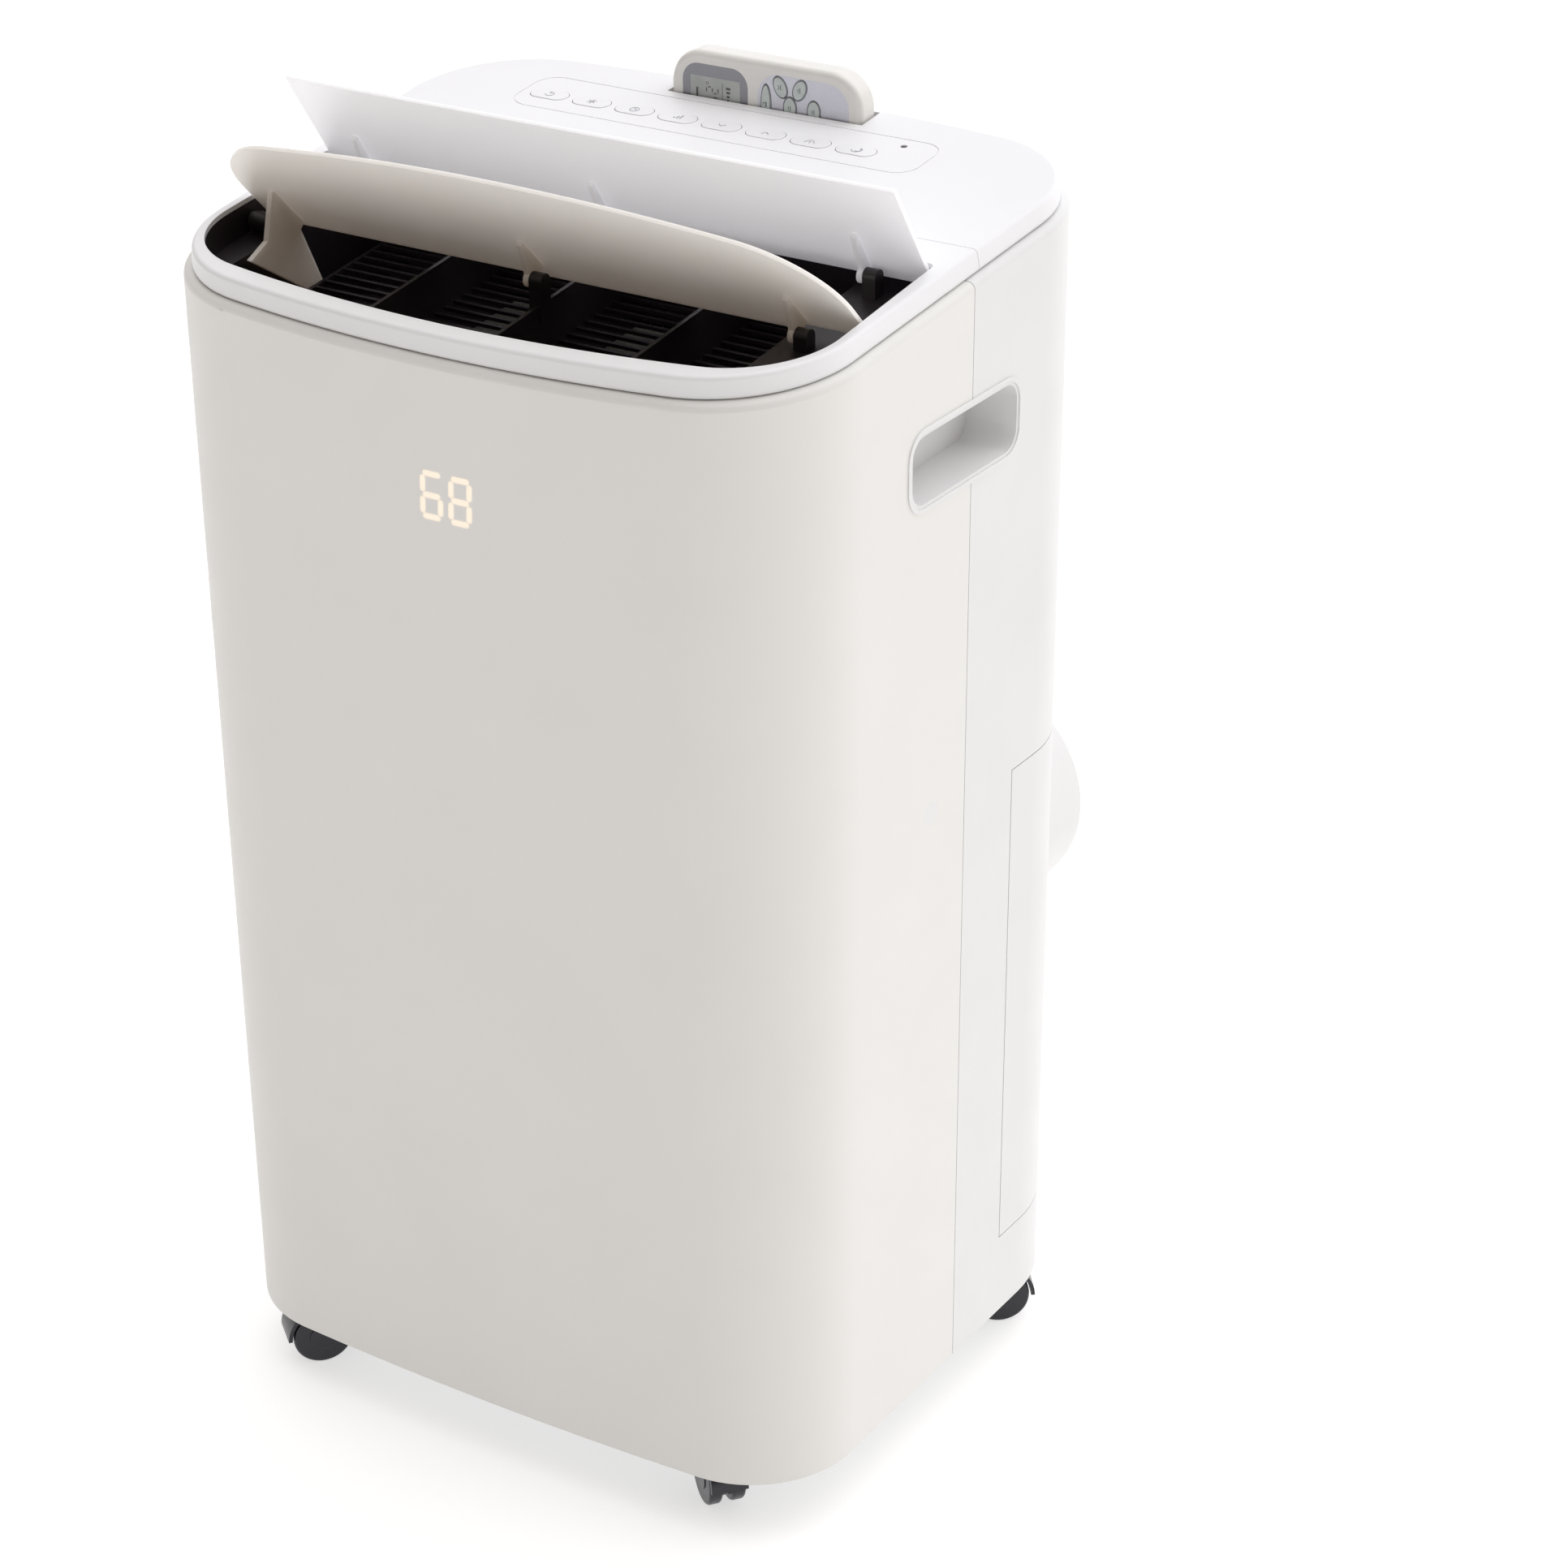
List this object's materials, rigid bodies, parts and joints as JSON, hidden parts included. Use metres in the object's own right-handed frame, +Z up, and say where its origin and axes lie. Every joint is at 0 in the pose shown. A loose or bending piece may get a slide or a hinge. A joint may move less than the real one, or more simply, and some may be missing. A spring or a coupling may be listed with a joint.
{
  "type": "portable air conditioner",
  "caption": "White portable air conditioner on twin-wheel casters, with tilting outlet flaps, a button deck, side handle recesses, a rear exhaust collar and a remote control in a deck slot.",
  "frame": {"origin": "on the floor under the middle of the whole unit", "axes": "+Z up, -Y is the front with the display and the outlet, +X is the side with the exhaust collar"},
  "size_m": [0.436, 0.3964, 0.8021],
  "materials": {
    "white_abs": "fine satin moulded ABS",
    "dark_abs": "dark moulded ABS",
    "pan_steel": "galvanised sheet",
    "tray_plastic": "moulded",
    "board": "solder mask",
    "fin_aluminium": "bright fins",
    "black_steel": "black enamel",
    "rubber_mount": "matte",
    "copper": "drawn copper tube",
    "motor_steel": "zinc plated",
    "caster_nylon": "black nylon",
    "wheel_nylon": "black nylon",
    "remote_white": "glossy",
    "remote_plate": "satin metallic paint",
    "lcd_glass": "LCD window",
    "key_rubber": "translucent silicone"
  },
  "bodies": {
    "cabinet": {"front_casing": "white_abs", "rear_casing": "white_abs", "top_bezel": "white_abs", "top_deck": "white_abs", "outlet_duct": "dark_abs", "base_pan": "pan_steel", "display_board": "board", "control_box": "pan_steel", "control_board": "board", "button_board": "board", "evaporator_coil": "fin_aluminium", "condenser_coil": "fin_aluminium", "compressor": "black_steel", "compressor_mounts": "rubber_mount", "refrigerant_pipes": "copper", "drain_tray": "tray_plastic", "upper_scroll": "tray_plastic", "lower_scroll": "tray_plastic", "fan_motors": "motor_steel", "hose_collar": "white_abs", "swing_motors": "dark_abs", "side_handles": "white_abs", "side_plugs": "white_abs", "cord_gland": "dark_abs", "drain_spouts": "white_abs", "casing_screws": "motor_steel"},
    "front_flap": {"front_flap": "white_abs"},
    "rear_flap": {"rear_flap": "white_abs"},
    "upper_filter_door": {"upper_filter_door": "white_abs"},
    "lower_panel": {"lower_panel": "white_abs"},
    "drain_cap_upper": {"drain_cap_upper": "dark_abs"},
    "drain_cap_lower": {"drain_cap_lower": "dark_abs"},
    "blower_wheel_upper": {"blower_wheel_upper": "tray_plastic"},
    "blower_wheel_lower": {"blower_wheel_lower": "tray_plastic"},
    "button_power": {"button_power": "white_abs"},
    "button_mode": {"button_mode": "white_abs"},
    "button_timer": {"button_timer": "white_abs"},
    "button_speed": {"button_speed": "white_abs"},
    "button_down": {"button_down": "white_abs"},
    "button_up": {"button_up": "white_abs"},
    "button_swing": {"button_swing": "white_abs"},
    "button_sleep": {"button_sleep": "white_abs"},
    "remote": {"remote_case": "remote_white", "remote_plates": "remote_plate", "remote_lcd": "lcd_glass"},
    "key_power": {"key_power": "key_rubber"},
    "key_up": {"key_up": "key_rubber"},
    "key_down": {"key_down": "key_rubber"},
    "key_mode": {"key_mode": "key_rubber"},
    "key_fan": {"key_fan": "key_rubber"},
    "key_timer": {"key_timer": "key_rubber"},
    "key_units": {"key_units": "key_rubber"},
    "caster_front_left": {"caster_frame_front_left": "caster_nylon"},
    "wheels_front_left": {"caster_wheels_front_left": "wheel_nylon"},
    "caster_front_right": {"caster_frame_front_right": "caster_nylon"},
    "wheels_front_right": {"caster_wheels_front_right": "wheel_nylon"},
    "caster_rear_left": {"caster_frame_rear_left": "caster_nylon"},
    "wheels_rear_left": {"caster_wheels_rear_left": "wheel_nylon"},
    "caster_rear_right": {"caster_frame_rear_right": "caster_nylon"},
    "wheels_rear_right": {"caster_wheels_rear_right": "wheel_nylon"}
  },
  "joints": [
    {"name": "rear_flap_swing", "type": "hinge", "parent": "cabinet", "child": "rear_flap", "pos_m": [0, -0.01924, 0.73956], "axis": [-1, 0, 0], "range_deg": [-58, 5]},
    {"name": "front_flap_swing", "type": "hinge", "parent": "cabinet", "child": "front_flap", "pos_m": [0, -0.09001, 0.72852], "axis": [-1, 0, 0], "range_deg": [-51, 4.41]},
    {"name": "upper_filter_pull", "type": "slide", "parent": "cabinet", "child": "upper_filter_door", "axis": [0, 1, 0], "range_m": [0, 0.06]},
    {"name": "lower_panel_pull", "type": "slide", "parent": "cabinet", "child": "lower_panel", "axis": [0, 1, 0], "range_m": [0, 0.09]},
    {"name": "upper_drain_cap_pull", "type": "slide", "parent": "cabinet", "child": "drain_cap_upper", "axis": [0, 1, 0], "range_m": [0, 0.02]},
    {"name": "lower_drain_cap_pull", "type": "slide", "parent": "cabinet", "child": "drain_cap_lower", "axis": [0, 1, 0], "range_m": [0, 0.02]},
    {"name": "upper_blower_spin", "type": "hinge", "parent": "cabinet", "child": "blower_wheel_upper", "pos_m": [-0.02, -0.042, 0.546], "axis": [0, 1, 0], "continuous": true},
    {"name": "lower_blower_spin", "type": "hinge", "parent": "cabinet", "child": "blower_wheel_lower", "pos_m": [-0.084, 0.05, 0.236], "axis": [0, 1, 0], "continuous": true},
    {"name": "button_power_press", "type": "slide", "parent": "cabinet", "child": "button_power", "axis": [0, 0.096, -0.9954], "range_m": [0, 0.0008], "stiffness_N_per_m": 400},
    {"name": "button_mode_press", "type": "slide", "parent": "cabinet", "child": "button_mode", "axis": [0, 0.096, -0.9954], "range_m": [0, 0.0008], "stiffness_N_per_m": 400},
    {"name": "button_timer_press", "type": "slide", "parent": "cabinet", "child": "button_timer", "axis": [0, 0.096, -0.9954], "range_m": [0, 0.0008], "stiffness_N_per_m": 400},
    {"name": "button_speed_press", "type": "slide", "parent": "cabinet", "child": "button_speed", "axis": [0, 0.096, -0.9954], "range_m": [0, 0.0008], "stiffness_N_per_m": 400},
    {"name": "button_down_press", "type": "slide", "parent": "cabinet", "child": "button_down", "axis": [0, 0.096, -0.9954], "range_m": [0, 0.0008], "stiffness_N_per_m": 400},
    {"name": "button_up_press", "type": "slide", "parent": "cabinet", "child": "button_up", "axis": [0, 0.096, -0.9954], "range_m": [0, 0.0008], "stiffness_N_per_m": 400},
    {"name": "button_swing_press", "type": "slide", "parent": "cabinet", "child": "button_swing", "axis": [0, 0.096, -0.9954], "range_m": [0, 0.0008], "stiffness_N_per_m": 400},
    {"name": "button_sleep_press", "type": "slide", "parent": "cabinet", "child": "button_sleep", "axis": [0, 0.096, -0.9954], "range_m": [0, 0.0008], "stiffness_N_per_m": 400},
    {"name": "remote_lift", "type": "slide", "parent": "cabinet", "child": "remote", "axis": [0, 0, 1], "range_m": [0, 0.06]},
    {"name": "key_power_press", "type": "slide", "parent": "remote", "child": "key_power", "axis": [0, 1, 0], "range_m": [0, 0.0006], "stiffness_N_per_m": 300},
    {"name": "key_up_press", "type": "slide", "parent": "remote", "child": "key_up", "axis": [0, 1, 0], "range_m": [0, 0.0006], "stiffness_N_per_m": 300},
    {"name": "key_down_press", "type": "slide", "parent": "remote", "child": "key_down", "axis": [0, 1, 0], "range_m": [0, 0.0006], "stiffness_N_per_m": 300},
    {"name": "key_mode_press", "type": "slide", "parent": "remote", "child": "key_mode", "axis": [0, 1, 0], "range_m": [0, 0.0006], "stiffness_N_per_m": 300},
    {"name": "key_fan_press", "type": "slide", "parent": "remote", "child": "key_fan", "axis": [0, 1, 0], "range_m": [0, 0.0006], "stiffness_N_per_m": 300},
    {"name": "key_timer_press", "type": "slide", "parent": "remote", "child": "key_timer", "axis": [0, 1, 0], "range_m": [0, 0.0006], "stiffness_N_per_m": 300},
    {"name": "key_units_press", "type": "slide", "parent": "remote", "child": "key_units", "axis": [0, 1, 0], "range_m": [0, 0.0006], "stiffness_N_per_m": 300},
    {"name": "caster_front_left_swivel", "type": "hinge", "parent": "cabinet", "child": "caster_front_left", "pos_m": [-0.15, -0.14, 0.05], "axis": [0, 0, 1], "continuous": true},
    {"name": "wheels_front_left_roll", "type": "hinge", "parent": "caster_front_left", "child": "wheels_front_left", "pos_m": [-0.15771, -0.14919, 0.019], "axis": [-0.766, 0.6428, 0], "continuous": true},
    {"name": "caster_front_right_swivel", "type": "hinge", "parent": "cabinet", "child": "caster_front_right", "pos_m": [0.128, -0.1345, 0.05], "axis": [0, 0, 1], "continuous": true},
    {"name": "wheels_front_right_roll", "type": "hinge", "parent": "caster_front_right", "child": "wheels_front_right", "pos_m": [0.13719, -0.14221, 0.019], "axis": [-0.6428, -0.766, 0], "continuous": true},
    {"name": "caster_rear_left_swivel", "type": "hinge", "parent": "cabinet", "child": "caster_rear_left", "pos_m": [-0.18, 0.104, 0.05], "axis": [0, 0, 1], "continuous": true},
    {"name": "wheels_rear_left_roll", "type": "hinge", "parent": "caster_rear_left", "child": "wheels_rear_left", "pos_m": [-0.1841, 0.11528, 0.019], "axis": [0.9397, 0.342, 0], "continuous": true},
    {"name": "caster_rear_right_swivel", "type": "hinge", "parent": "cabinet", "child": "caster_rear_right", "pos_m": [0.18, 0.104, 0.05], "axis": [0, 0, 1], "continuous": true},
    {"name": "wheels_rear_right_roll", "type": "hinge", "parent": "caster_rear_right", "child": "wheels_rear_right", "pos_m": [0.18958, 0.11122, 0.019], "axis": [0.6018, -0.7986, 0], "continuous": true}
  ],
  "couplings": [
    {"joint": "front_flap_swing", "follows": "rear_flap_swing", "ratio": 0.87931}
  ]
}
